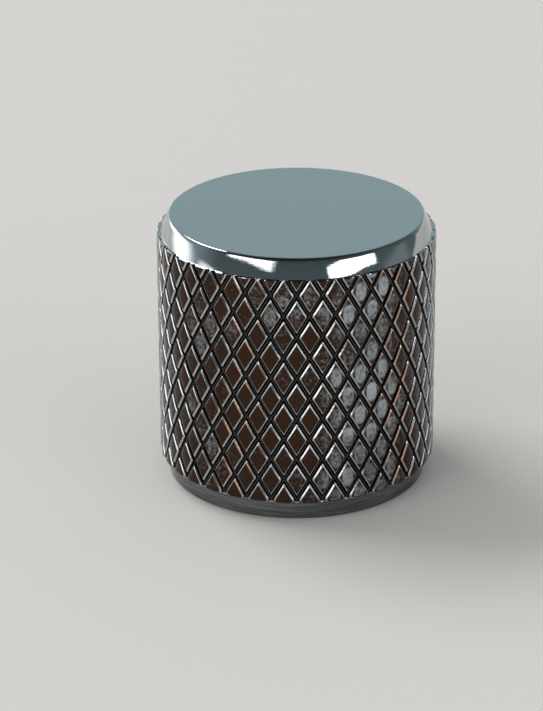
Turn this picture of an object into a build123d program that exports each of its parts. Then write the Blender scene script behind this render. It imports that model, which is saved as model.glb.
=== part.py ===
"""A flat-topped control knob turned from brass bar, with a raised diamond knurl and its grub screw.

The knob stands on its foot, the centre of the foot at the origin and the shaft axis along +Z.
The grub screw that grips the shaft comes in from the back, along -Y towards the axis.
"""
import os
from math import atan, degrees, pi, radians, tan

from build123d import *

os.makedirs("parts", exist_ok=True)

# --- Driving dimensions, in millimetres --------------------------------------------------------

# The turned blank
crest_diameter = 18.0  # over the points of the knurl
knob_height = 17.8
knurl_step = 0.26  # from the crests in to the foot of the polished chamfer
chamfer_width = 0.57  # from there in to the edge of the flat top
chamfer_height = 1.2
top_edge_radius = 0.15
foot_step = 0.6  # from the crests in to the plain collar that the knob stands on
foot_height = 1.35
foot_edge_break = 0.1
knurl_bevel = 0.15  # at the lower end of the knurled band

# The knurl: two hands of V grooves that leave raised diamonds between them
groove_count = 34  # in each hand
diamond_row_height = 2.8  # from one diamond to the next one above it
groove_depth = 0.24
groove_width = 0.5  # across the groove, where it opens at the crests
first_crossing = 0.16  # height at which the two hands cross on the +X side

# The shaft and what grips it
shaft_diameter = 6.35  # a quarter-inch control shaft
shaft_clearance = 0.05  # on the diameter
crown_height = 4.8  # from the bore's shoulder, where the drill point begins, up to the flat top
drill_point_angle = 118.0
collar_wall = 1.6  # round the recess that clears the control's fixing nut
nut_recess_depth = 2.2
bore_mouth_bevel = 0.3

screw_diameter = 3.0
screw_height = 5.6  # its axis above the foot
screw_setback = 0.7  # from the crests in to its outer end
screw_thread_clearance = 0.05  # round the screw, on the radius
screw_tip_clearance = 0.1  # from the screw's tip to the empty bore, backed off
screw_edge_break = 0.3
screw_socket_across_flats = 1.5
screw_socket_depth = 1.4
screw_cup_diameter = 1.5
screw_cup_angle = 118.0

# --- Worked out from the above -----------------------------------------------------------------

crest_radius = crest_diameter / 2
chamfer_base_radius = crest_radius - knurl_step
top_radius = chamfer_base_radius - chamfer_width
foot_radius = crest_radius - foot_step
nut_recess_radius = foot_radius - collar_wall
bore_radius = (shaft_diameter + shaft_clearance) / 2
chamfer_base = knob_height - chamfer_height
shaft_bore_end = knob_height - crown_height
drill_point_height = bore_radius / tan(radians(drill_point_angle / 2))
screw_tip = bore_radius + screw_tip_clearance
screw_length = crest_radius - screw_setback - screw_tip
screw_cup_depth = screw_cup_diameter / 2 / tan(radians(screw_cup_angle / 2))
groove_lead = groove_count * diamond_row_height
helix_angle = degrees(atan(pi * crest_diameter / groove_lead))

# The cutter stands proud of the crests, and its flanks keep the groove's slope out there
cutter_overhang = 0.35
cutter_half_width = groove_width / 2 * (1 + cutter_overhang / groove_depth)


def groove_cutter(lefthand):
    """One V groove of either hand, from below the knurled band to above the top face."""
    with BuildPart() as cutter:
        with BuildLine():
            path = Helix(
                pitch=groove_lead,
                height=knob_height - first_crossing,
                radius=crest_radius,
                center=(0, 0, first_crossing),
                lefthand=lefthand,
            )
        with BuildSketch(Plane(origin=path @ 0, x_dir=(1, 0, 0), z_dir=path % 0)):
            with BuildLine():
                Polyline(
                    (-groove_depth, 0),
                    (cutter_overhang, cutter_half_width),
                    (cutter_overhang, -cutter_half_width),
                    close=True,
                )
            make_face()
        sweep(path=path, is_frenet=True)
    return cutter.part


# --- The knob, one turned and knurled piece ----------------------------------------------------

with BuildPart() as knob_body:
    # Half section of the blank, from the foot up to the flat top
    with BuildSketch(Plane.XZ) as blank_section:
        with BuildLine():
            Polyline(
                (0, 0),
                (foot_radius - foot_edge_break, 0),
                (foot_radius, foot_edge_break),
                (foot_radius, foot_height),
                (crest_radius - knurl_bevel, foot_height),
                (crest_radius, foot_height + knurl_bevel),
                (crest_radius, chamfer_base),
                (chamfer_base_radius, chamfer_base),
                (top_radius, knob_height),
                (0, knob_height),
                close=True,
            )
        make_face()
        top_corner = blank_section.vertices().sort_by(Axis.Y)[-2:].sort_by(Axis.X)[-1]
        fillet(top_corner, radius=top_edge_radius)
    revolve(axis=Axis.Z)

    # The knurl, one hand of grooves after the other
    for lefthand in (False, True):
        cutter = groove_cutter(lefthand)
        with PolarLocations(0, groove_count):
            add(cutter, mode=Mode.SUBTRACT)

    # Half section of the nut recess and of the blind shaft bore with its drill point
    with BuildSketch(Plane.XZ):
        with BuildLine():
            Polyline(
                (0, 0),
                (nut_recess_radius, 0),
                (nut_recess_radius, nut_recess_depth),
                (bore_radius + bore_mouth_bevel, nut_recess_depth),
                (bore_radius, nut_recess_depth + bore_mouth_bevel),
                (bore_radius, shaft_bore_end),
                (0, shaft_bore_end + drill_point_height),
                close=True,
            )
        make_face()
    revolve(axis=Axis.Z, mode=Mode.SUBTRACT)

    # The tapped hole for the grub screw, from the bore out through the knurl
    with BuildSketch(Plane(origin=(0, 0, screw_height), z_dir=(0, 1, 0))):
        Circle(screw_diameter / 2 + screw_thread_clearance)
    extrude(amount=crest_radius + cutter_overhang, mode=Mode.SUBTRACT)

knob_body.part.label = "knob_body"

# --- The grub screw, backed off until it just clears the empty bore -----------------------------

with BuildPart() as set_screw:
    with BuildSketch(Plane(origin=(0, screw_tip, screw_height), z_dir=(0, 1, 0))):
        Circle(screw_diameter / 2)
    extrude(amount=screw_length)
    tip_face, socket_face = set_screw.faces().filter_by(Axis.Y).sort_by(Axis.Y)
    chamfer([tip_face.edges(), socket_face.edges()], length=screw_edge_break)

    # The hexagon socket in the outer end
    with BuildSketch(Plane(origin=(0, screw_tip + screw_length, screw_height), z_dir=(0, 1, 0))):
        RegularPolygon(screw_socket_across_flats / 2, 6, major_radius=False)
    extrude(amount=-screw_socket_depth, mode=Mode.SUBTRACT)

    # The cup point that bites into the shaft
    with Locations(Plane(origin=(0, screw_tip, screw_height), z_dir=(0, 1, 0))):
        Cone(
            bottom_radius=screw_cup_diameter / 2,
            top_radius=0,
            height=screw_cup_depth,
            align=(Align.CENTER, Align.CENTER, Align.MIN),
            mode=Mode.SUBTRACT,
        )

set_screw.part.label = "set_screw"

# --- Write one file for each piece ---------------------------------------------------------------

for piece in (knob_body.part, set_screw.part):
    export_step(piece, f"parts/{piece.label}.step")

print(f"helix angle of the knurl {helix_angle:.1f} degrees")
print(f"grub screw {screw_length:.2f} mm long")
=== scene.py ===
# %% [markdown]
# # A knurled metal control knob
#
# This lesson dresses a small guitar knob. The real one is turned from brass bar, knurled, drilled, buffed
# and chrome plated, and a grub screw from the back holds it on its shaft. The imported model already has
# every size and fit, so it is loaded as a fixed frame, and the pieces made here stand exactly in its place.

# %% Load the frame
import math

import bpy
import numpy as np
from mathutils import Matrix, Vector


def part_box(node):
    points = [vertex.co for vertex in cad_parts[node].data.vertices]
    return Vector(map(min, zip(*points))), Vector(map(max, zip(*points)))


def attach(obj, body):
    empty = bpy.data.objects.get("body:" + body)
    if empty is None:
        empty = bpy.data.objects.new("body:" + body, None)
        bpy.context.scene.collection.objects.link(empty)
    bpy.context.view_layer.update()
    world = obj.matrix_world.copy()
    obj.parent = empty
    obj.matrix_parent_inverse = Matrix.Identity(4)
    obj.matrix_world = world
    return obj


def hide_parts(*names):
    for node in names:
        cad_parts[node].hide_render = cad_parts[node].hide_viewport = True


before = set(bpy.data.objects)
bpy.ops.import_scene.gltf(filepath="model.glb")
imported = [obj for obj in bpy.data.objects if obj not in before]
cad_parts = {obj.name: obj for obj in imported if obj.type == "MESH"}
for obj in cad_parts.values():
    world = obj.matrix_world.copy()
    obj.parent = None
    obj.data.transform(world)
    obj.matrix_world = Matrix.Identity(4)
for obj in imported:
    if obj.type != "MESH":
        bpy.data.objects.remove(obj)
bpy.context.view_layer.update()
print("CAD nodes:", sorted(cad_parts))

# %% [markdown]
# ## Sizes
#
# The knob is worked out in millimetres and turned to metres only when a mesh is written. What the frame
# knows is read from it: how wide the crests are, how tall the knob is and where the screw's ends are.
# The rest are the turner's own sizes.

# %% Sizes from the frame
MM = 0.001

body_low, body_high = (np.array(corner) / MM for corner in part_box("knob_body"))
screw_low, screw_high = (np.array(corner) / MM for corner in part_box("set_screw"))
crest_radius = (body_high[0] - body_low[0]) / 2
knob_height = body_high[2]
screw_tip_y = screw_low[1]
screw_end_y = screw_high[1]
screw_height = (screw_low[2] + screw_high[2]) / 2
print(f"crests {2 * crest_radius:.2f} mm across, knob {knob_height:.2f} mm tall")
print(f"screw at {screw_height:.2f} mm, from {screw_tip_y:.2f} to {screw_end_y:.2f} mm out")

# %% The turner's sizes
top_radius = 8.17
top_edge_radius = 0.15
chamfer_base_radius = 8.74
chamfer_base = knob_height - 1.2
chamfer_crown = 0.02
crest_end_bevel = 0.05
foot_radius = 8.4
foot_height = 1.35
foot_edge_break = 0.1
knurl_bevel = 0.15
nut_recess_radius = 6.8
nut_recess_depth = 2.2
bore_radius = 3.2
bore_mouth_bevel = 0.3
bore_shoulder = 13.0
half_drill_point = math.radians(59)
drill_point_height = bore_radius / math.tan(half_drill_point)
print(f"knurled band from {foot_height:.2f} to {chamfer_base:.2f} mm")

# %% [markdown]
# ## From a grid of points to a closed mesh
#
# Every surface here is a grid of points, rows by columns. Where a row shrinks to a pole, or columns run
# together at the corner of a diamond, several points fall on one spot. The helper gives each spot one
# vertex and drops the faces that this leaves without area, so seams and poles close by themselves.
# Each four-sided cell is split along its shorter diagonal, which keeps a slanting crease straight.

# %% A helper: grid to triangles
SAME_SPOT = 1e-5  # millimetres


def triangles_of_grid(points):
    """Vertices and triangles of a grid of points; the right-hand rule gives the outer side when rows run
    down and columns run counter-clockwise seen from above."""
    rows, columns = points.shape[:2]
    flat = points.reshape(-1, 3)
    cells = np.round(flat / SAME_SPOT).astype(np.int64)
    _, first, spot = np.unique(cells, axis=0, return_index=True, return_inverse=True)
    spot = spot.reshape(rows, columns)
    a, b, c, d = spot[:-1, :-1], spot[:-1, 1:], spot[1:, 1:], spot[1:, :-1]
    diagonal_ac = np.linalg.norm(points[:-1, :-1] - points[1:, 1:], axis=-1)
    diagonal_bd = np.linalg.norm(points[:-1, 1:] - points[1:, :-1], axis=-1)
    by_ac = np.stack([np.stack([a, d, c], -1), np.stack([a, c, b], -1)], -2)
    by_bd = np.stack([np.stack([a, d, b], -1), np.stack([b, d, c], -1)], -2)
    shorter_ac = (diagonal_ac <= diagonal_bd)[..., None, None]
    triangles = np.where(shorter_ac, by_ac, by_bd).reshape(-1, 3)
    i, j, k = triangles.T
    return flat[first], triangles[(i != j) & (j != k) & (k != i)]


# %% A helper: triangles to an object
def add_piece(name, points):
    """An object whose mesh is the closed surface of a grid of points given in millimetres."""
    vertices, triangles = triangles_of_grid(points)
    mesh = bpy.data.meshes.new(name)
    mesh.vertices.add(len(vertices))
    mesh.vertices.foreach_set("co", (vertices * MM).ravel())
    mesh.loops.add(triangles.size)
    mesh.loops.foreach_set("vertex_index", triangles.ravel())
    mesh.polygons.add(len(triangles))
    mesh.polygons.foreach_set("loop_start", np.arange(0, triangles.size, 3))
    mesh.update()
    mesh.validate()
    piece = bpy.data.objects.new(name, mesh)
    bpy.context.collection.objects.link(piece)
    print(f"{name}: {len(vertices)} vertices, {len(triangles)} triangles")
    return piece


# %% [markdown]
# ## Where the knurl's grooves run
#
# A diamond knurl is two sets of V grooves, one for each hand, that cross all round the knob and leave a
# raised diamond in each mesh. It could be cut with booleans, or faked with a bump, but then its edges
# would be ragged or missing in the outline. Here it is one formula. Going round the knob at any height,
# the grooves of one hand stand `p` of a pitch past a whole number, and those of the other hand `p` short
# of it, and `p` climbs from 0 to a half and falls again as the height goes up by one row of diamonds.

# %% The knurl's lattice
groove_count = 34
diamond_row = 2.8
first_crossing = 0.16
pitch_round = 2 * math.pi * crest_radius / groove_count
across_groove = pitch_round * math.cos(math.atan(pitch_round / diamond_row))


def rows_up(height):
    """Height counted in rows of diamonds from a row where the two hands cross on the +X side."""
    return (height - first_crossing) / diamond_row


def groove_offset(height):
    """p: how far round the grooves stand from a whole pitch, a saw-tooth of the height, 0 to one half."""
    return 0.5 - np.abs(rows_up(height) % 1 - 0.5)


def distance_to_line(count):
    """How far a number is from the nearest whole number."""
    return np.abs(count - np.round(count))


print(f"pitch {pitch_round:.3f} mm round, {across_groove:.3f} mm straight across the grooves")

# %% [markdown]
# ## The shape of one groove
#
# Across a groove the wall climbs in a straight flank from a narrow floor, turns over a small rounded
# shoulder and runs out into the face of the diamond. All of it depends on one number, the distance to the
# nearest groove. A soft minimum of the distances to the two hands rounds the corners of the diamonds, as
# the knurling wheel and the polishing mop do.

# %% One groove
groove_depth = 0.24
flank_slope = 1.3
floor_half_mm, flank_top_mm, shoulder_end_mm = 0.04, 0.15, 0.27
floor_half_width = floor_half_mm / across_groove
flank_top = flank_top_mm / across_groove
shoulder_end = shoulder_end_mm / across_groove
corner_softness = 8
NEARLY_ZERO = 1e-6  # keeps the power below away from a division by zero


def groove_cut(distance):
    """Depth below the crests at a distance from a groove's middle, in pitches: a parabola bends down from
    the face over the shoulder, and a straight flank goes on from it at the slope that it has reached."""
    slope = flank_slope * across_groove
    bend = slope * np.clip(shoulder_end - distance, 0, None) ** 2 / (2 * (shoulder_end - flank_top))
    flank = slope * ((shoulder_end + flank_top) / 2 - distance)
    return np.where(distance < flank_top, flank, bend)


def soft_minimum(first, second):
    """The smaller of two distances, rounded off where they are nearly the same."""
    first, second = np.maximum(first, NEARLY_ZERO), np.maximum(second, NEARLY_ZERO)
    return (first**-corner_softness + second**-corner_softness) ** (-1 / corner_softness)


print(f"flanks lean {math.degrees(math.atan(flank_slope)):.0f} degrees from the face")

# %% [markdown]
# ## Diamonds that are not all alike
#
# The wheel presses each diamond up a little differently and the mop rounds it off, so on a real knob no two
# faces catch the light in the same way. Each face is crowned, and leans by up to three degrees. The leans
# come from a seeded table, one entry for each diamond, so every run makes the same knob. All the faces are
# lowered by a hundredth of a millimetre, to give the leans room, and none may stand above the crests.

# %% The knurl's surface
face_crown = 0.022
face_lean = 0.045
face_drop = 0.01
knurl_seed = 34
most_rows = 16
leans = np.random.default_rng(knurl_seed).uniform(-face_lean, face_lean, (2, groove_count, most_rows))


def knurl_radius(turns, height):
    """Radius of the knurled surface at so many pitches round and at a height: the crest's, less the
    groove's cut, the face's crown and its lean, and nowhere deeper than the groove's flat floor."""
    one_count, other_count = turns - rows_up(height), turns + rows_up(height)
    one_hand, other_hand = distance_to_line(one_count), distance_to_line(other_count)
    diamond = np.floor(one_count).astype(int)
    row = np.floor(other_count).astype(int) - diamond
    lean_one, lean_other = leans[:, diamond % groove_count, row]
    lean = lean_one * (one_count % 1 - 0.5) + lean_other * (other_count % 1 - 0.5)
    crown = face_crown * (1 - np.sin(math.pi * one_hand) * np.sin(math.pi * other_hand))
    cut = groove_cut(soft_minimum(one_hand, other_hand))
    return crest_radius - np.clip(cut + crown + lean + face_drop, 0, groove_depth)


print(f"{groove_count} diamonds round, in rows {diamond_row} mm high")

# %% [markdown]
# ## Columns that follow the grooves
#
# A plain grid of rows and columns would cut across the grooves and leave saw-teeth along them. So the
# columns are bent: each one keeps its own distance from the nearest groove, as far as the diamond is wide
# enough there, and the rows stand at the heights where a column reaches the tip of its diamond. The
# creases then lie exactly on the mesh's edges, and each row is still level, so the ends of the knurled
# band are clean circles.

# %% The knurl's grid
on_bend, on_face, mid_face = 0.146, 0.34, 0.5
distances = np.array([0, floor_half_width, flank_top, on_bend, shoulder_end, on_face, mid_face])


def column_turns(height):
    """Columns round the knob at each height, in pitches from +X, one row of the result per height."""
    p = groove_offset(height)[:, None]
    towards, back = distances[None, :], distances[None, -2:0:-1]
    narrow, wide = np.minimum(towards, p), np.minimum(towards, 0.5 - p)
    narrow_back, wide_back = np.minimum(back, p), np.minimum(back, 0.5 - p)
    one_pitch = np.concatenate([-p + narrow, p - narrow_back, p + wide, 1 - p - wide_back], axis=1)
    turns = np.arange(groove_count)[None, :, None] + one_pitch[:, None, :]
    turns = turns.reshape(len(height), -1)
    return np.concatenate([turns, turns[:, :1] + groove_count], axis=1)


def knurl_rows(low, high, margin=0.02):
    """Heights between low and high at which a column meets the tip of its diamond."""
    steps = np.concatenate([distances[:-1], 0.5 - distances[:-1]])
    half_rows = np.arange(0, 2 * knob_height / diamond_row) / 2
    heights = first_crossing + diamond_row * np.unique(np.round((half_rows[:, None] + steps).ravel(), 6))
    return heights[(heights > low + margin) & (heights < high - margin)]


print(f"{len(knurl_rows(foot_height, chamfer_base))} rows in the knurled band")

# %% [markdown]
# ## The whole section of the knob
#
# The knob is one piece, so its skin is one profile that starts in the middle of the flat top, goes over
# the rounded edge and the chamfer, down the knurled band to the foot, and up inside through the nut recess
# to the tip of the drill point. The mop leaves the chamfer very slightly crowned, which bends the lights
# that it mirrors.

# %% The outside of the profile
chamfer_lean = math.atan2(chamfer_base_radius - top_radius, knob_height - chamfer_base)


def top_edge(steps=7):
    """An arc that meets the flat top and the chamfer without a crease, from the top outwards."""
    tangent = top_edge_radius * math.tan((math.pi / 2 - chamfer_lean) / 2)
    around = np.linspace(math.pi / 2, chamfer_lean, steps)
    radius = top_radius - tangent + top_edge_radius * np.cos(around)
    return np.stack([radius, knob_height - top_edge_radius + top_edge_radius * np.sin(around)], axis=1)


def crowned_chamfer(steps=8, clear_of_ends=0.08):
    """A straight line from the top's edge to the band, with a parabola's bulge added to its radius. It
    keeps a share of the height clear at both ends, for the rounded edge and for the corner."""
    up = np.linspace(1 - clear_of_ends, clear_of_ends, steps)
    straight = chamfer_base_radius + (top_radius - chamfer_base_radius) * up
    radius = straight + 4 * chamfer_crown * up * (1 - up)
    return np.stack([radius, chamfer_base + (knob_height - chamfer_base) * up], axis=1)


def knurled_band():
    """The crests' line down the band, pulled in at both ends by the chamfer's corner and the bevel."""
    height = knurl_rows(foot_height, chamfer_base)[::-1]
    ends = [foot_height, foot_height + knurl_bevel, chamfer_base - crest_end_bevel, chamfer_base]
    inset = np.interp(height, ends, [knurl_bevel, 0, 0, crest_end_bevel])
    return np.stack([crest_radius - inset, height], axis=1)


print(f"the chamfer leans {math.degrees(chamfer_lean):.1f} degrees inwards")

# %% [markdown]
# Carried round the axis, the profile makes a closed body. The grooves then only have to take away:
# wherever the knurl's radius is less than the profile's, the knurl's is used, which also cuts the little
# notches where grooves run out into the chamfer and the lower bevel.

# %% The profile, carried round
def knob_profile():
    """(radius, height) of the section, from the middle of the top round to the drill point's tip."""
    flat_end = top_radius - 0.2
    top = [[0, knob_height], [top_radius / 2, knob_height], [flat_end, knob_height]]
    corner = [
        [chamfer_base_radius, chamfer_base],
        [crest_radius - crest_end_bevel, chamfer_base],
        [crest_radius, chamfer_base - crest_end_bevel],
    ]
    below = [
        [crest_radius - knurl_bevel, foot_height],
        [foot_radius, foot_height],
        [foot_radius, foot_edge_break],
        [foot_radius - foot_edge_break, 0],
        [nut_recess_radius, 0],
        [nut_recess_radius, nut_recess_depth],
        [bore_radius + bore_mouth_bevel, nut_recess_depth],
        [bore_radius, nut_recess_depth + bore_mouth_bevel],
        [bore_radius, bore_shoulder],
        [0, bore_shoulder + drill_point_height],
    ]
    return np.concatenate([top, top_edge(), crowned_chamfer(), corner, knurled_band(), below])


def knob_points():
    """The profile's points at every column: x = r cos, y = r sin, with r the smaller of the profile's and
    the knurl's radius. Outside the band the columns keep the angles of its nearest end."""
    radius, height = knob_profile().T
    pattern_height = np.clip(height, foot_height, chamfer_base)
    turns = column_turns(pattern_height)
    angle = 2 * math.pi * turns / groove_count
    r = np.minimum(radius[:, None], knurl_radius(turns, pattern_height[:, None]))
    z = np.broadcast_to(height[:, None], r.shape)
    return np.stack([r * np.cos(angle), r * np.sin(angle), z], -1)


knob = add_piece("knurled_knob", knob_points())

# %% [markdown]
# ## Threads for the grub screw
#
# A thread is a profile that climbs by one pitch in each turn. It could be a helix swept along the rod, but
# then its ends have to be trimmed. Here the rows of the grid climb with it, so its crest lies along them.
# At the ends the rows are held at the last height, where they all fall on one circle and close up. The
# same function makes the screw, with its hexagon socket and cup point, and the tap that cuts the hole, a
# little larger all round.

# %% A threaded rod
thread_pitch = 0.5
thread_depth = 0.27
half_crest, flank_run = 0.06, 0.3  # in pitches
screw_radius = 1.5
rows_in_pitch = 8
columns_round = 72


def thread_radius(along, around, outer):
    """Radius of a thread: outer at the crest, straight flanks down to outer less the depth and back."""
    phase = distance_to_line((along - screw_tip_y) / thread_pitch - around / (2 * math.pi))
    return outer - thread_depth * np.clip((0.5 - phase - half_crest) / flank_run, 0, 1)


def threaded_rod(start, end, outer, edge_break):
    """Radius and place along the rod of each grid point, from its end back to its start."""
    around = np.linspace(0, 2 * math.pi, columns_round + 1)[None, :]
    rows = np.arange(start - thread_pitch, end, thread_pitch / rows_in_pitch)[::-1, None]
    rows = np.concatenate([[[end + thread_pitch]], rows])
    along = np.clip(rows + thread_pitch * around / (2 * math.pi), start, end)
    inset = outer - edge_break + np.minimum(along - start, end - along)
    return np.minimum(thread_radius(along, around, outer), inset), along, around


def place_on_screw_axis(radius, along, around):
    """Points round the screw's axis, which runs along +Y at the screw's height."""
    radius, along, around = np.broadcast_arrays(radius, along, around)
    return np.stack([radius * np.sin(around), along, screw_height + radius * np.cos(around)], -1)


print(f"M{2 * screw_radius:.0f} thread, {thread_pitch} mm pitch")

# %% [markdown]
# The tap runs from the bore out through the back of the knob, and cuts its hole. Near the mouth the
# thread fades into a plain wall, as a drill that opens the mouth leaves it, so the edge is clean. A boolean
# is the right tool for this one cut, because the hole's edge wanders over crests and grooves. Both meshes
# are closed, so the solver is exact and fast.

# %% Make the tap and cut the hole
thread_clearance = 0.05
hole_radius = screw_radius + thread_clearance
tap_start = 1.0
tap_end = crest_radius + 0.6
plain_mouth = 0.8

tap_radius, tap_along, tap_around = threaded_rod(tap_start, tap_end, hole_radius, 0)
to_mouth = np.clip((tap_along - crest_radius + plain_mouth) / thread_pitch, 0, 1)
tap_radius = tap_radius + (hole_radius - tap_radius) * to_mouth
tap_rows = [
    place_on_screw_axis(0, tap_along[:1], tap_around),
    place_on_screw_axis(tap_radius, tap_along, tap_around),
    place_on_screw_axis(0, tap_along[-1:], tap_around),
]
tap = add_piece("tap", np.concatenate(tap_rows))

cut = knob.modifiers.new("tapped hole", "BOOLEAN")
cut.operation = "DIFFERENCE"
cut.solver = "MANIFOLD"
cut.object = tap
whole = knob.data
evaluated = knob.evaluated_get(bpy.context.evaluated_depsgraph_get())
knob.data = bpy.data.meshes.new_from_object(evaluated)
knob.data.name = "knurled_knob"
knob.modifiers.clear()
bpy.data.meshes.remove(whole)
bpy.data.objects.remove(tap)
knob.data.calc_loop_triangles()
print(f"after the tap: {len(knob.data.loop_triangles)} triangles")

# %% [markdown]
# ## The grub screw
#
# The screw is one grid too: from the middle of the socket's floor, up its six flat walls, out over the end,
# along the thread, over the tip and into the cup. A hexagon in polar form is its half-width across the
# flats divided by the cosine of the angle from the nearest flat.

# %% The grub screw
socket_half_flats = 0.75
socket_depth = 1.4
socket_floor_cone = 0.25
socket_bevel = 0.05
cup_radius = 0.75
cup_depth = 0.4
screw_edge_break = 0.3

screw_r, screw_along, screw_around = threaded_rod(screw_tip_y, screw_end_y, screw_radius, screw_edge_break)
from_flat = (screw_around + math.pi / 6) % (math.pi / 3) - math.pi / 6
hexagon = socket_half_flats / np.cos(from_flat)
screw_rows = [
    place_on_screw_axis(0, screw_end_y - socket_depth - socket_floor_cone, screw_around),
    place_on_screw_axis(hexagon, screw_end_y - socket_depth, screw_around),
    place_on_screw_axis(hexagon, screw_end_y - socket_bevel, screw_around),
    place_on_screw_axis(hexagon + socket_bevel, screw_end_y, screw_around),
    place_on_screw_axis(screw_r, screw_along, screw_around),
    place_on_screw_axis(cup_radius, screw_tip_y, screw_around),
    place_on_screw_axis(0, screw_tip_y + cup_depth, screw_around),
]
screw = add_piece("socket_grub_screw", np.concatenate(screw_rows))

# %% [markdown]
# ## Smooth faces, sharp creases
#
# Shading is smoothed from face to face, so the grid disappears, and kept sharp wherever two faces meet at
# more than a set angle: at the foot's edge, the ledges, the flanks of the grooves and the socket's corners.

# %% Shade the pieces
CREASE = math.radians(32)
for piece in (knob, screw):
    piece.data.polygons.foreach_set("use_smooth", np.ones(len(piece.data.polygons), bool))
    piece.data.set_sharp_from_angle(angle=CREASE)
    print(f"{piece.name}: smooth, with creases over {math.degrees(CREASE):.0f} degrees")

# %% [markdown]
# ## Onto the frame
#
# Each piece rides on the one rigid body and takes the place of its CAD node, which is hidden. The
# material slot that it is finished in is only printed here.

# %% Ride on the frame
for piece, node, slot in ((knob, "knob_body", "chrome_plate"), (screw, "set_screw", "black_oxide")):
    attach(piece, "root")
    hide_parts(node)
    print(f"{piece.name} stands for {node}, finished as {slot}")

# %% [markdown]
# ## Tools for the finishes
#
# Colours are written as they look on a screen, and shaders want them linear, so one function turns the one
# into the other. One more adds a node with its settings and its inputs in a single call: an input that is
# given another node's output is linked to it, and any other is set to what it is given.

# %% Helpers for materials
def linear(hex_colour):
    """An sRGB hex colour as the linear RGBA that shaders take: straight near black, a power above it."""
    value = np.array([int(hex_colour[i : i + 2], 16) for i in (1, 3, 5)]) / 255
    value = np.where(value <= 0.04045, value / 12.92, ((value + 0.055) / 1.055) ** 2.4)
    return (*value, 1.0)


def add_node(tree, kind, inputs=None, stops=(), **settings):
    """Adds a node, sets its settings, links or sets its inputs, which are given by name or number, and
    gives a colour ramp its stops, in rising order."""
    node = tree.nodes.new(kind)
    for name, setting in settings.items():
        setattr(node, name, setting)
    for name, value in (inputs or {}).items():
        if isinstance(value, bpy.types.NodeSocket):
            tree.links.new(value, node.inputs[name])
        else:
            node.inputs[name].default_value = value
    for number, (position, hex_colour) in enumerate(stops):
        ramp = node.color_ramp.elements
        stop = ramp[number] if number < 2 else ramp.new(position)
        stop.position, stop.color = position, linear(hex_colour)
    return node


def new_material(name):
    """A named material with an empty node tree, and that tree."""
    material = bpy.data.materials.new(name)
    material.use_nodes = True
    material.node_tree.nodes.clear()
    return material, material.node_tree


print("middle grey #808080 is", round(linear("#808080")[0], 3), "in linear light")

# %% [markdown]
# The finish changes from place to place: over the knurl, down in the grooves, inside the bore. It could use
# painted masks, but the knob's shape is a formula, and so the masks can be too, and they stay sharp at any
# size. A region is bounded by a few edges, and its mask is the product of a smooth step over each.

# %% A helper: the mask of a region
def region(tree, *edges, within=1.0):
    """1 inside a region and 0 outside. Each edge is (value, outside, inside): the mask climbs smoothly as
    the value goes from outside to inside, and it is multiplied by what it lies within."""
    mask = within
    for value, outside, inside in edges:
        steps = {"Value": value, "From Min": outside, "From Max": inside, "To Max": mask}
        mask = add_node(tree, "ShaderNodeMapRange", steps, interpolation_type="SMOOTHSTEP").outputs["Result"]
    return mask


def place_in_mm(tree):
    """A point's place on the object in millimetres."""
    place = add_node(tree, "ShaderNodeTexCoord").outputs["Object"]
    to_mm = {0: place, 1: (1 / MM, 1 / MM, 1 / MM)}
    return add_node(tree, "ShaderNodeVectorMath", to_mm, operation="MULTIPLY").outputs["Vector"]


def distance_from_screw_axis(tree, place):
    """Distance in millimetres from the line along Y at the screw's height."""
    across = {0: place, 1: (1, 0, 1), 2: (0, 0, -screw_height)}
    across = add_node(tree, "ShaderNodeVectorMath", across, operation="MULTIPLY_ADD").outputs["Vector"]
    return add_node(tree, "ShaderNodeVectorMath", {0: across}, operation="LENGTH").outputs["Value"]


print("helpers ready")

# %% [markdown]
# ## Chrome plate on buffed brass
#
# Decorative chrome is a mirror, a little darker and bluer than silver, and duller in the corners that
# the mop did not reach. Its colour also carries painted shade and painted reflections, placed by shape.
# So the finish starts by asking where a point lies: how far round, how high, and how far from the axis.

# %% Where a point lies
chrome, tree = new_material("chrome_plate_on_buffed_brass")
place = place_in_mm(tree)
x, y, z = add_node(tree, "ShaderNodeSeparateXYZ", {0: place}).outputs
on_level = {0: place, 1: (1, 1, 0)}
on_level = add_node(tree, "ShaderNodeVectorMath", on_level, operation="MULTIPLY").outputs[0]
radius = add_node(tree, "ShaderNodeVectorMath", {0: on_level}, operation="LENGTH").outputs["Value"]
angle = add_node(tree, "ShaderNodeMath", {0: y, 1: x}, operation="ARCTAN2").outputs[0]
from_screw = distance_from_screw_axis(tree, place)

soft = 0.02  # millimetres over which a mask's edge fades
clear_of_foot = 0.1
off_top = region(tree, (z, knob_height - soft / 4, knob_height - soft))
on_foot = region(tree, (z, foot_height + soft, foot_height - soft))
in_band = region(
    tree,
    (z, foot_height + soft, foot_height + clear_of_foot),
    (z, chamfer_base, chamfer_base - crest_end_bevel),
    (radius, foot_radius + clear_of_foot, foot_radius + 2 * clear_of_foot),
)
print("masks: top, foot and knurled band")

# %% [markdown]
# The plating bath hardly reaches inside, so the nut recess, the bore and the tapped hole are left bare
# brass: a warm yellow metal that the tools leave satin. The recess and the bore lie inside a radius, under
# the height of the chamfer, and the hole inside a circle round the screw's axis, on the back's side. The
# plating still covers the hole's lip.

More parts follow.
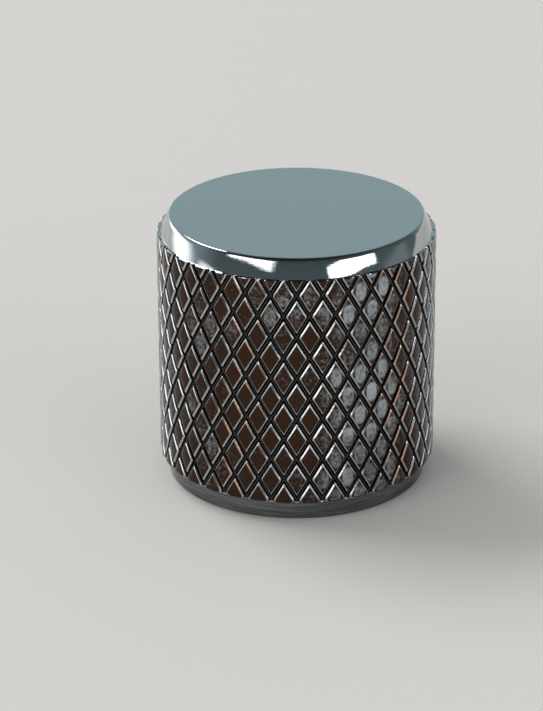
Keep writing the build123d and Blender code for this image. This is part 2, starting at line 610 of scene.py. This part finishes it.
# %% Where the brass is bare
plated_lip = 0.25
inside = region(
    tree,
    (radius, nut_recess_radius + 1.5 * soft, nut_recess_radius + soft / 2),
    (z, soft / 2, 1.5 * soft),
    (z, chamfer_base, chamfer_base - soft),
)
in_hole = region(
    tree,
    (from_screw, hole_radius + soft, hole_radius),
    (y, 0.0, 1.0),
    (radius, crest_radius - plated_lip, crest_radius - 2 * plated_lip),
)
bare = add_node(tree, "ShaderNodeMath", {0: inside, 1: in_hole}, operation="MAXIMUM").outputs[0]
print(f"bare brass inside {nut_recess_radius} mm, and in the {2 * hole_radius:.1f} mm hole")

# %% [markdown]
# ## Grooves and diamonds in the shader
#
# The shader counts grooves round the knob as the mesh did, once for each hand. How far a count is from a
# whole number is the distance to that hand's nearest groove, and the smaller of the two says whether a
# point lies on a face, on a shoulder, on a flank or on a groove's floor. Multiplied together, the two are
# largest in the middle of a face and fall off in rounded rings, so they mark an oval in its middle.

# %% How far from a groove
rounds = {0: angle, 1: groove_count / (2 * math.pi)}
rounds = add_node(tree, "ShaderNodeMath", rounds, operation="MULTIPLY").outputs[0]
up = {0: z, 1: 1 / diamond_row, 2: -first_crossing / diamond_row}
up = add_node(tree, "ShaderNodeMath", up, operation="MULTIPLY_ADD").outputs[0]
one_count = add_node(tree, "ShaderNodeMath", {0: rounds, 1: up}, operation="SUBTRACT").outputs[0]
other_count = add_node(tree, "ShaderNodeMath", {0: rounds, 1: up}, operation="ADD").outputs[0]
one_hand = add_node(tree, "ShaderNodeMath", {0: one_count, 1: 0.5}, operation="PINGPONG").outputs[0]
other_hand = add_node(tree, "ShaderNodeMath", {0: other_count, 1: 0.5}, operation="PINGPONG").outputs[0]
rounding = 0.08
nearest = {0: one_hand, 1: other_hand, 2: rounding}
nearest = add_node(tree, "ShaderNodeMath", nearest, operation="SMOOTH_MIN").outputs[0]
from_groove = {0: nearest, 1: across_groove}
from_groove = add_node(tree, "ShaderNodeMath", from_groove, operation="MULTIPLY").outputs[0]

within_face = {0: one_hand, 1: other_hand}
within_face = add_node(tree, "ShaderNodeMath", within_face, operation="MULTIPLY").outputs[0]
oval_rim, oval_full = 0.055, 0.095
face_middle = region(tree, (within_face, oval_rim, oval_full))
on_shoulder = region(tree, (from_groove, shoulder_end_mm - soft, flank_top_mm + 2.5 * soft), within=in_band)
in_groove = region(tree, (from_groove, flank_top_mm, flank_top_mm - 1.5 * soft), within=in_band)
on_groove_floor = region(tree, (from_groove, floor_half_mm + soft, floor_half_mm - soft / 4), within=in_band)
print("masks: middles of the faces, shoulders, grooves and groove floors")

# %% [markdown]
# The two counts, rounded down, also name the diamond that a point is on, and wrapped at the full turn they
# stay the same where the angle jumps from one end to the other. A random number drawn for each name gives
# each diamond its own tone.

# %% Which diamond
counts = add_node(tree, "ShaderNodeCombineXYZ", {0: one_count, 1: other_count}).outputs[0]
diamond = add_node(tree, "ShaderNodeVectorMath", {0: counts}, operation="FLOOR").outputs[0]
full_turn = {0: diamond, 1: (groove_count, groove_count, 1), 2: (0, 0, 0)}
diamond = add_node(tree, "ShaderNodeVectorMath", full_turn, operation="WRAP").outputs[0]
diamond_tone = add_node(tree, "ShaderNodeTexWhiteNoise", {"Vector": diamond}).outputs["Value"]
print("one random tone for each diamond")

# %% [markdown]
# Three places round the knob, a third of a turn apart, get more grey plate on their faces: a painted
# pattern of lighter reflections. The cosine of three times the angle is highest at those three places.

# %% Where the faces are painted lighter
lit_place_count = 3
first_lit_place = math.radians(-61)
from_lit_place = {0: angle, 1: lit_place_count, 2: -lit_place_count * first_lit_place}
from_lit_place = add_node(tree, "ShaderNodeMath", from_lit_place, operation="MULTIPLY_ADD").outputs[0]
near_lit_place = add_node(tree, "ShaderNodeMath", {0: from_lit_place}, operation="COSINE").outputs[0]
lit_from, lit_fullest = 0.45, 0.95
# Painted lighter reflection: near these three places more of each face shows grey plate.
painted_lighter = region(tree, (near_lit_place, lit_from, lit_fullest))
print(f"{lit_place_count} handled places, {360 / lit_place_count:.0f} degrees apart")

# %% [markdown]
# ## Mottling and marks
#
# A fine noise mottles each face, as pressed and plated brass is, in spots about a fifth of a millimetre
# wide. A slow one makes patches, a few diamonds across. Both move where the painted dark and grey of the
# faces fall, and the fine one is also in the relief. The mop leaves a waviness some two millimetres long.
# The lathe tool leaves fine rings round the chamfer, the foot and the bore: a noise that is stretched
# round the axis draws them eight to a millimetre, which is coarser than life, so that they show.

# %% Noises
spots_per_mm, patches_per_mm, waves_per_mm, rings_per_mm = 4.5, 0.28, 0.55, 8
grain = {"Vector": place, "Scale": spots_per_mm, "Detail": 3.0, "Roughness": 0.6}
grain = add_node(tree, "ShaderNodeTexNoise", grain).outputs["Fac"]
patches = {"Vector": place, "Scale": patches_per_mm, "Detail": 1.0}
patches = add_node(tree, "ShaderNodeTexNoise", patches).outputs["Fac"]
waviness = {"Vector": place, "Scale": waves_per_mm, "Detail": 1.0, "Roughness": 0.4}
waviness = add_node(tree, "ShaderNodeTexNoise", waviness).outputs["Fac"]

ring_place = add_node(tree, "ShaderNodeCombineXYZ", {0: angle, 1: z, 2: radius}).outputs[0]
streaks_per_radian = 3
ring_scale = {0: ring_place, 1: (streaks_per_radian, rings_per_mm, rings_per_mm)}
ring_place = add_node(tree, "ShaderNodeVectorMath", ring_scale, operation="MULTIPLY").outputs[0]
rings = {"Vector": ring_place, "Scale": 1.0, "Detail": 3.0, "Roughness": 0.6}
rings = add_node(tree, "ShaderNodeTexNoise", rings).outputs["Fac"]
for name, per_mm in (("spots", spots_per_mm), ("waves", waves_per_mm), ("patches", patches_per_mm)):
    print(f"{name} about {1 / per_mm:.2f} mm long")

# %% [markdown]
# ## The colours of the plating, with painted shade and reflections
#
# Chrome on the mopped top and chamfer is clear and even. The foot is painted darker, a painted dark
# reflection, banded lighter and darker by the lathe's rings. The knurl's pressed faces are duller and
# painted brown-black, a painted dark reflection, and the grooves nearly black, a painted shade. Grey plate
# shows in an oval in the middle of each face, more on some faces than on others and most at three places
# round the knob: a painted pattern of lighter reflections. Each groove's floor is painted a little lighter,
# a painted light line. The shoulders keep the plate's own colour, so the lamps draw a bright outline round
# each diamond. The layers go over one another, each by its own mask.

# %% Colours
mottle = -1.65  # so that grey shows only where the patterns agree
# The three painted lighter places add to where grey plate shows on the faces.
for pattern, weight in ((grain, 1.4), (patches, 1.3), (diamond_tone, 0.4), (painted_lighter, 0.65)):
    mottle = {0: pattern, 1: weight, 2: mottle}
    mottle = add_node(tree, "ShaderNodeMath", mottle, operation="MULTIPLY_ADD").outputs[0]
# Painted dark reflection: the faces are brown-black, and grey plate shows only in the ovals that the mottle
# allows.
grey_share = region(tree, (mottle, 0.0, 1.0), within=face_middle)
faces = {0: grey_share, 6: linear("#3d2d23"), 7: linear("#b2bcc2")}
faces = add_node(tree, "ShaderNodeMix", faces, data_type="RGBA").outputs[2]
# Painted dark reflection on the foot, banded lighter and darker by the lathe's rings.
foot = {0: region(tree, (rings, 0.35, 0.65)), 6: linear("#5f5f60"), 7: linear("#7b7d80")}
foot = add_node(tree, "ShaderNodeMix", foot, data_type="RGBA").outputs[2]

colour = linear("#bdbec0")
for mask, layer in (
    (on_foot, foot),
    (in_band, faces),
    (on_shoulder, linear("#bbbdbf")),
    # painted shade: the groove walls are painted nearly black
    (in_groove, linear("#15110e")),
    # painted highlight: a lighter line along each groove's floor
    (on_groove_floor, linear("#3f3a36")),
    (bare, linear("#b39a58")),
):
    layer_over = {0: mask, 6: colour, 7: layer}
    colour = add_node(tree, "ShaderNodeMix", layer_over, data_type="RGBA").outputs[2]
print("layers: plate, foot, faces, shoulders, grooves, groove floors, bare brass")

# %% [markdown]
# ## Gloss and fine relief
#
# Mopped chrome is nearly a perfect mirror. Down the knurl it is duller, and bare turned brass duller
# still. The relief is tiny, a few thousandths of a millimetre, but on a mirror it bends what is
# seen: it ripples the edges of the lights on the chamfer. The top is ground flat and has only the grain.

# %% Gloss and relief
mopped, duller_band, duller_groove, duller_brass = 0.035, 0.07, 0.15, 0.25
roughness = mopped
for mask, more in ((in_band, duller_band), (in_groove, duller_groove), (bare, duller_brass)):
    rougher = {0: mask, 1: more, 2: roughness}
    roughness = add_node(tree, "ShaderNodeMath", rougher, operation="MULTIPLY_ADD").outputs[0]

wave_mm, ring_mm, grain_mm, more_grain_mm = 0.012, 0.0008, 0.0018, 0.004
waves = add_node(tree, "ShaderNodeMath", {0: waviness, 1: wave_mm}, operation="MULTIPLY").outputs[0]
marks = {0: rings, 1: ring_mm, 2: waves}
marks = add_node(tree, "ShaderNodeMath", marks, operation="MULTIPLY_ADD").outputs[0]
spots = {0: in_band, 1: more_grain_mm, 2: grain_mm}
spots = add_node(tree, "ShaderNodeMath", spots, operation="MULTIPLY_ADD").outputs[0]
spots = add_node(tree, "ShaderNodeMath", {0: grain, 1: spots}, operation="MULTIPLY").outputs[0]
relief = {0: marks, 1: off_top, 2: spots}
relief = add_node(tree, "ShaderNodeMath", relief, operation="MULTIPLY_ADD").outputs[0]
bump = add_node(tree, "ShaderNodeBump", {"Height": relief, "Distance": MM}).outputs["Normal"]
print(f"roughness {mopped} on the mopped plate and {mopped + duller_brass:.3f} on bare brass in the bore")

# %% Put the chrome together
finish = {"Base Color": colour, "Metallic": 1.0, "Roughness": roughness, "Normal": bump}
shader = add_node(tree, "ShaderNodeBsdfPrincipled", finish)
add_node(tree, "ShaderNodeOutputMaterial", {"Surface": shader.outputs["BSDF"]})
knob.data.materials.clear()
knob.data.materials.append(chrome)
print(f"{chrome.name}: {len(tree.nodes)} nodes")

# %% [markdown]
# ## Black oxide on steel
#
# Grub screws are hardened steel, blackened in a hot alkaline bath. The layer is thin, so the steel's shine
# comes through it: a dark, slightly blue metal that is neither matt nor bright, with faint brownish
# clouds, and grey where the thread's crests have rubbed.

# %% Black oxide
black, tree = new_material("black_oxide_on_steel")
place = place_in_mm(tree)
clouds_per_mm, pits_per_mm = 1.2, 9.0
clouds = {"Vector": place, "Scale": clouds_per_mm, "Detail": 3.0}
clouds = add_node(tree, "ShaderNodeTexNoise", clouds).outputs["Fac"]
pits = {"Vector": place, "Scale": pits_per_mm, "Detail": 2.0}
pits = add_node(tree, "ShaderNodeTexNoise", pits).outputs["Fac"]
oxide = {0: region(tree, (clouds, 0.35, 0.65)), 6: linear("#393a40"), 7: linear("#56524f")}
oxide = add_node(tree, "ShaderNodeMix", oxide, data_type="RGBA").outputs[2]
rubbed_depth = 0.06
rubbed = (distance_from_screw_axis(tree, place), screw_radius - rubbed_depth, screw_radius)
rubbed = region(tree, rubbed)
oxide = {0: rubbed, 6: oxide, 7: linear("#7c7d82")}
oxide = add_node(tree, "ShaderNodeMix", oxide, data_type="RGBA").outputs[2]
least_dull, dull_spread = 0.25, 0.3
dullness = {0: clouds, 1: dull_spread, 2: least_dull}
dullness = add_node(tree, "ShaderNodeMath", dullness, operation="MULTIPLY_ADD").outputs[0]
pit_depth = 0.004 * MM
bump = add_node(tree, "ShaderNodeBump", {"Height": pits, "Distance": pit_depth}).outputs["Normal"]
finish = {"Base Color": oxide, "Metallic": 1.0, "Roughness": dullness, "Normal": bump}
shader = add_node(tree, "ShaderNodeBsdfPrincipled", finish)
add_node(tree, "ShaderNodeOutputMaterial", {"Surface": shader.outputs["BSDF"]})
screw.data.materials.clear()
screw.data.materials.append(black)
print(f"{black.name}: {len(tree.nodes)} nodes")

# %% [markdown]
# ## The camera
#
# The knob is seen from a little above, from as far as a long macro lens stands back: more than ten times
# the knob's width away, so its sides hardly converge. The aim is a little left of the axis.

# %% Camera
view_elevation = math.radians(23.25)
camera_distance = 202.09 * MM
focal_length = 157.02  # millimetres, on a sensor 36 mm on its long side
knob_middle = Vector((0, 0, crest_radius)) * MM
aim = Vector((-1.64, 0, 7.72)) * MM
camera_roll = math.radians(0.29)

camera_data = bpy.data.cameras.new("camera")
camera_data.sensor_width = 36.0
camera_data.lens = focal_length
camera_data.clip_start, camera_data.clip_end = 0.01, 50.0
camera = bpy.data.objects.new("camera", camera_data)
out_and_up = Vector((0, -math.cos(view_elevation), math.sin(view_elevation)))
camera.location = knob_middle + out_and_up * camera_distance
towards_knob = (aim - camera.location).to_track_quat("-Z", "Y").to_matrix()
camera.rotation_euler = (towards_knob @ Matrix.Rotation(-camera_roll, 3, "Z")).to_euler()
bpy.context.collection.objects.link(camera)
bpy.context.scene.camera = camera
print(f"{camera_data.lens:.0f} mm lens, {camera_distance / MM:.0f} mm from the knob")

# %% [markdown]
# ## The floor
#
# A plain pale laminate lets the shape read. Near the knob it is a real surface that takes the light and
# the shadow. A flat floor ends in a hard line at the horizon, which a studio hides with a sweep of paper.
# Here it turns, well away from the knob, into the plain tone of the background. Only the camera's rays and
# mirrored rays see that tone, so it puts no light on the object.

# %% Helpers for what is seen
background_tone = "#d2d2cf"


def seen_directly(tree):
    """1 for rays from the camera, from a mirror or through glass, and 0 for rays that gather light."""
    path = add_node(tree, "ShaderNodeLightPath").outputs
    mirrored = {0: path["Is Glossy Ray"], 1: path["Is Transmission Ray"]}
    mirrored = add_node(tree, "ShaderNodeMath", mirrored, operation="MAXIMUM").outputs[0]
    seen = {0: path["Is Camera Ray"], 1: mirrored}
    return add_node(tree, "ShaderNodeMath", seen, operation="MAXIMUM").outputs[0]


print("background tone", background_tone)

# %% Floor
floor_radius, floor_sides = 4.0, 128
floor_drop = 0.00001
fade_from, fade_to = 0.25, 0.9

ring = np.linspace(0, 2 * math.pi, floor_sides, endpoint=False)
rim = [floor_radius * np.cos(ring), floor_radius * np.sin(ring), np.full(floor_sides, -floor_drop)]
floor_mesh = bpy.data.meshes.new("floor")
floor_mesh.from_pydata(np.stack(rim, axis=1).tolist(), [], [list(range(floor_sides))])
floor = bpy.data.objects.new("floor", floor_mesh)
bpy.context.collection.objects.link(floor)

laminate, tree = new_material("pale_matt_laminate")
matt = {"Base Color": linear("#c6c4c0"), "Roughness": 0.7, "Specular IOR Level": 0.15}
near = add_node(tree, "ShaderNodeBsdfPrincipled", matt).outputs["BSDF"]
far = add_node(tree, "ShaderNodeEmission", {"Color": linear(background_tone)}).outputs["Emission"]
place = add_node(tree, "ShaderNodeTexCoord").outputs["Object"]
distance = add_node(tree, "ShaderNodeVectorMath", {0: place}, operation="LENGTH").outputs["Value"]
far_away = region(tree, (distance, fade_from, fade_to), within=seen_directly(tree))
surface = add_node(tree, "ShaderNodeMixShader", {0: far_away, 1: near, 2: far}).outputs["Shader"]
add_node(tree, "ShaderNodeOutputMaterial", {"Surface": surface})
floor_mesh.materials.append(laminate)
print(f"floor {2 * floor_radius:.0f} m across")

# %% [markdown]
# ## The soft boxes
#
# Polished metal has no look of its own: it shows the lamps. So each lamp is placed for the edge that will
# mirror it, by its angles as seen from the knob. The key stands high at the back on the left and throws
# the soft shadow to the front right. A wide, low box on the left whitens that end of the chamfer, and the
# low ones on both sides draw the outlines of the diamonds, the right one cooler. A small warm one, low in
# front, puts copper lines among them. Two boxes in front put the two bright bars on the chamfer, and a
# dim one on the right keeps the rest of it from going black. A real soft box is brightest in its middle,
# so each light fades out towards its edges, and so do its reflections.

# %% A soft box
def soft_box(name, azimuth, elevation, across, up, brightness, fade=0.1, tint="#ffffff", distance=2.0):
    """A lamp that faces the knob. Its place and its spans across and up are angles seen from the knob:
    azimuth 0 is the camera's side, and 90 is to its right. A mirror shows brightness 1 as plain white,
    in the tint given. At each edge the light fades out over the given share of the span."""
    a, e = math.radians(azimuth), math.radians(elevation)
    lamp = bpy.data.lights.new(name, "AREA")
    lamp.shape = "RECTANGLE"
    lamp.size = 2 * distance * math.tan(math.radians(across) / 2)
    lamp.size_y = 2 * distance * math.tan(math.radians(up) / 2)
    lamp.energy = brightness * math.pi * lamp.size * lamp.size_y

    lamp.use_nodes = True
    tree = lamp.node_tree
    tree.nodes.clear()
    place = add_node(tree, "ShaderNodeNewGeometry").outputs["Parametric"]
    from_middle = {0: place, 1: (0.5, 0.5, 0)}
    from_middle = add_node(tree, "ShaderNodeVectorMath", from_middle, operation="SUBTRACT").outputs[0]
    from_middle = add_node(tree, "ShaderNodeVectorMath", {0: from_middle}, operation="ABSOLUTE").outputs[0]
    sideways, upwards, _ = add_node(tree, "ShaderNodeSeparateXYZ", {0: from_middle}).outputs
    glow = region(tree, (sideways, 0.5, 0.5 - fade), (upwards, 0.5, 0.5 - fade))
    glow = {"Color": linear(tint), "Strength": glow}
    light = add_node(tree, "ShaderNodeEmission", glow).outputs["Emission"]
    add_node(tree, "ShaderNodeOutputLight", {"Surface": light})

    box = bpy.data.objects.new(name, lamp)
    direction = Vector((math.sin(a) * math.cos(e), -math.cos(a) * math.cos(e), math.sin(e)))
    box.location = knob_middle + distance * direction
    box.rotation_euler = direction.to_track_quat("Z", "Y").to_euler()
    box.visible_camera = False
    bpy.context.collection.objects.link(box)
    print(f"{name}: at {azimuth} round, {elevation} up, {across} by {up} degrees")


# %% Eight soft boxes
soft_box("key_soft_box", -125, 47, 40, 26, 7.5)
soft_box("left_soft_box", -124, 8, 72, 18, 2.6, fade=0.45)
soft_box("low_left_soft_box", -56, 10, 70, 13, 2.4, fade=0.25)
soft_box("front_left_soft_box", -43, 34.5, 44, 16, 3.0, fade=0.18)
soft_box("front_right_soft_box", 50, 25, 44, 11, 3.0)
soft_box("low_right_soft_box", 64, 6, 44, 10, 1.7, fade=0.3, tint="#c2d8ee")
soft_box("warm_soft_box", 22, 12.5, 32, 9, 1.8, fade=0.2, tint="#f09555")
soft_box("right_soft_box", 92, 10, 40, 16, 0.12, fade=0.3)

# %% [markdown]
# ## The room around it
#
# The rest of what the metal mirrors is the room: a pale band at the horizon, which runs on from the floor,
# and above it a cool wall that is lit at the back and on the left, and dim towards the front and right.
# Rays that gather light find an even, nearly white dome instead, so the floor and the shadow stay plain.

# %% World
world = bpy.data.worlds.new("studio")
world.use_nodes = True
tree = world.node_tree
tree.nodes.clear()
direction = add_node(tree, "ShaderNodeTexCoord").outputs["Generated"]
height = add_node(tree, "ShaderNodeSeparateXYZ", {0: direction}).outputs["Z"]
horizon_top, wall_foot = 0.065, 0.09
tones = (
    (horizon_top, background_tone),
    (wall_foot, "#bad3d7"),
    (0.55, "#97aeb2"),
    (0.8, "#50585c"),
)
room_tone = add_node(tree, "ShaderNodeValToRGB", {"Fac": height}, stops=tones).outputs["Color"]

back_and_left = Vector((-0.4, 0.9, 0)).normalized()
lit_side = {0: direction, 1: back_and_left}
lit_side = add_node(tree, "ShaderNodeVectorMath", lit_side, operation="DOT_PRODUCT").outputs["Value"]
wall_light = {"Value": lit_side, "From Min": 0.1, "From Max": 0.8, "To Min": 0.26, "To Max": 1.0}
wall_light = add_node(tree, "ShaderNodeMapRange", wall_light).outputs["Result"]
at_horizon = region(tree, (height, wall_foot, horizon_top))
room_light = {0: wall_light, 1: at_horizon}
room_light = add_node(tree, "ShaderNodeMath", room_light, operation="MAXIMUM").outputs[0]

dome_strength = 0.62
room = add_node(tree, "ShaderNodeBackground", {0: room_tone, 1: room_light}).outputs[0]
dome = add_node(tree, "ShaderNodeBackground", {0: linear("#f4f6f8"), 1: dome_strength}).outputs[0]
both = add_node(tree, "ShaderNodeMixShader", {0: seen_directly(tree), 1: dome, 2: room}).outputs[0]
add_node(tree, "ShaderNodeOutputWorld", {"Surface": both})
bpy.context.scene.world = world
bpy.context.scene.view_settings.view_transform = "Standard"
print(f"{world.name}: {len(tree.nodes)} nodes")
